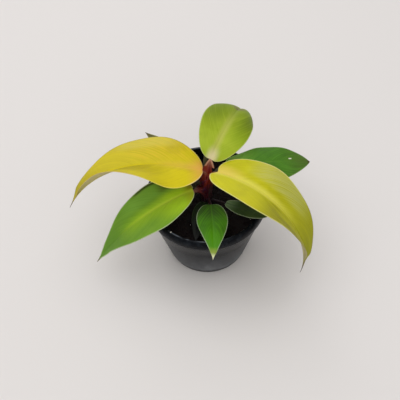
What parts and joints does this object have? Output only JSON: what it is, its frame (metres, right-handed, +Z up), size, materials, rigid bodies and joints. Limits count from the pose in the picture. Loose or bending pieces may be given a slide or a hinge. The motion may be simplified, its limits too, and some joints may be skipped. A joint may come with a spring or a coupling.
{
  "type": "potted sunshine philodendron",
  "caption": "Young philodendron with golden, lime and green drip-tipped leaves on a short maroon stem, in a round black tapered grower pot filled with soil.",
  "frame": {"origin": "centre of the pot's underside, on the surface that it stands on", "axes": "+Z up, -Y towards the viewer of the reference view, +X to the viewer's right"},
  "size_m": [0.2014, 0.1468, 0.1344],
  "materials": {
    "pot_plastic": "semi-gloss moulded polypropylene",
    "peat_mix": "rough, crumbly",
    "maroon_stem": "smooth, satin",
    "golden_leaf": "smooth, satin",
    "lime_yellow_leaf": "smooth, satin",
    "lime_leaf": "smooth, satin",
    "green_leaf": "smooth, satin",
    "olive_leaf": "smooth, satin",
    "dark_leaf": "smooth, satin"
  },
  "bodies": {
    "root": {"nursery_pot": "pot_plastic", "potting_soil": "peat_mix", "stem_and_petioles": "maroon_stem", "leaf_blade_left": "golden_leaf", "leaf_blade_right": "lime_yellow_leaf", "leaf_blade_back": "lime_leaf", "leaf_blade_front_left": "green_leaf", "leaf_blade_back_right": "green_leaf", "leaf_blade_front_small": "green_leaf", "leaf_blade_right_small": "dark_leaf", "leaf_blade_back_left": "olive_leaf", "leaf_blade_lower_front": "dark_leaf", "leaf_blade_lower_left": "dark_leaf"}
  },
  "joints": []
}
